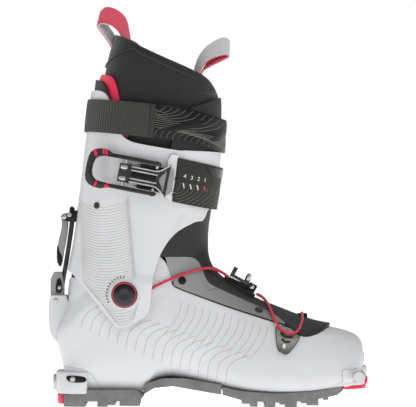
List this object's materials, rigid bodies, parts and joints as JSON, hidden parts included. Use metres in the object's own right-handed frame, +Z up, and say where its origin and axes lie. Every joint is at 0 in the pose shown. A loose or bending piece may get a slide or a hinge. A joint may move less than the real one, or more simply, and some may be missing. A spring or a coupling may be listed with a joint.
{
  "type": "ski touring boot",
  "caption": "Ski touring boot for the right foot: hinged cuff over a lower shell, liner, lacing cable, cuff buckle, power strap and walk mechanism.",
  "frame": {"origin": "on the floor, under the middle of the boot's box", "axes": "+X towards the toe, +Z up, -Y is the outer side of a right boot, where the cuff's buckle is"},
  "size_m": [0.2824, 0.1183, 0.3534],
  "materials": {
    "white_shell": "satin",
    "throat_grey": "matte",
    "dark_plastic": "matte",
    "black_plastic": "satin",
    "red_plastic": "satin",
    "liner_fabric": "matte",
    "sole_rubber": "matte",
    "steel": "satin",
    "dark_metal": "satin",
    "cable_red": "satin",
    "webbing": "matte",
    "loop_tape": "matte"
  },
  "bodies": {
    "shell": {"lower_shell": "white_shell", "boot_board": "dark_plastic", "footbed": "liner_fabric", "liner_foot": "liner_fabric", "outsole_heel": "sole_rubber", "outsole_arch": "sole_rubber", "outsole_forefoot": "sole_rubber", "heel_bumper": "red_plastic", "toe_bumper": "red_plastic", "toe_fitting": "steel", "heel_fitting": "steel", "throat_panel_lateral": "throat_grey", "panel_rivet_lateral_rear": "dark_metal", "panel_rivet_lateral_front": "dark_metal", "cable_guide_lateral": "steel", "instep_cable_lateral_rear": "cable_red", "instep_cable_lateral_front": "cable_red", "pivot_bolt_lateral": "black_plastic", "pivot_ring_lateral": "red_plastic", "throat_panel_medial": "throat_grey", "panel_rivet_medial_rear": "dark_metal", "panel_rivet_medial_front": "dark_metal", "cable_guide_medial": "steel", "instep_cable_medial_rear": "cable_red", "instep_cable_medial_front": "cable_red", "pivot_bolt_medial": "black_plastic", "pivot_ring_medial": "red_plastic", "tongue_instep": "dark_plastic", "lace_eyelet": "black_plastic", "instep_buckle_base": "black_plastic", "instep_buckle_rack": "dark_plastic", "instep_buckle_pin": "steel", "lock_bracket": "dark_metal", "lock_bracket_pin": "steel"},
    "cuff": {"cuff_shell": "white_shell", "cuff_screw": "dark_plastic", "rear_spoiler": "dark_plastic", "inner_spoiler": "red_plastic", "liner_shaft": "liner_fabric", "tongue_shin": "dark_plastic", "cuff_strap": "black_plastic", "cuff_strap_rivet": "steel", "strap_end_plate": "white_shell", "strap_catch": "dark_plastic", "power_strap_webbing": "webbing", "power_strap_tab": "webbing", "pull_loop_rear": "loop_tape", "pull_loop_front": "loop_tape", "mechanism_housing": "dark_metal", "walk_lever_pin": "steel", "cuff_buckle_base": "black_plastic", "cuff_buckle_rivet_lower": "steel", "cuff_buckle_rivet_upper": "steel"},
    "lock_bar": {"lock_bar": "dark_metal"},
    "walk_lever": {"walk_lever": "dark_metal"},
    "cuff_buckle_lever": {"cuff_buckle_lever": "dark_metal", "cuff_buckle_bail_pin": "steel"},
    "cuff_buckle_bail": {"cuff_buckle_bail": "steel"},
    "instep_buckle_lever": {"instep_buckle_lever": "dark_metal"}
  },
  "joints": [
    {"name": "cuff_pivot", "type": "hinge", "parent": "shell", "child": "cuff", "pos_m": [-0.073, 0.003, 0.099], "axis": [0, 1, 0], "range_deg": [-20, 22]},
    {"name": "lock_bar_tilt", "type": "hinge", "parent": "shell", "child": "lock_bar", "pos_m": [-0.1317, 0.003, 0.1042], "axis": [0, 1, 0], "range_deg": [-18, 20]},
    {"name": "walk_lever_swing", "type": "hinge", "parent": "cuff", "child": "walk_lever", "pos_m": [-0.1272, 0.003, 0.167], "axis": [0, 1, 0], "range_deg": [0, 100]},
    {"name": "cuff_buckle_open", "type": "hinge", "parent": "cuff", "child": "cuff_buckle_lever", "pos_m": [-0.0459, -0.055, 0.2003], "axis": [0.1942, 0, 0.981], "range_deg": [0, 130]},
    {"name": "cuff_buckle_bail_turn", "type": "hinge", "parent": "cuff_buckle_lever", "child": "cuff_buckle_bail", "pos_m": [-0.07316, -0.05159, 0.2057], "axis": [0.1942, 0, 0.981], "range_deg": [-135, 5]},
    {"name": "instep_buckle_open", "type": "hinge", "parent": "shell", "child": "instep_buckle_lever", "pos_m": [0.03959, 0.003, 0.1045], "axis": [0, 1, 0], "range_deg": [0, 100]}
  ],
  "couplings": [
    {"joint": "lock_bar_tilt", "follows": "cuff_pivot", "ratio": 0.85},
    {"joint": "cuff_buckle_bail_turn", "follows": "cuff_buckle_open", "ratio": -1}
  ]
}
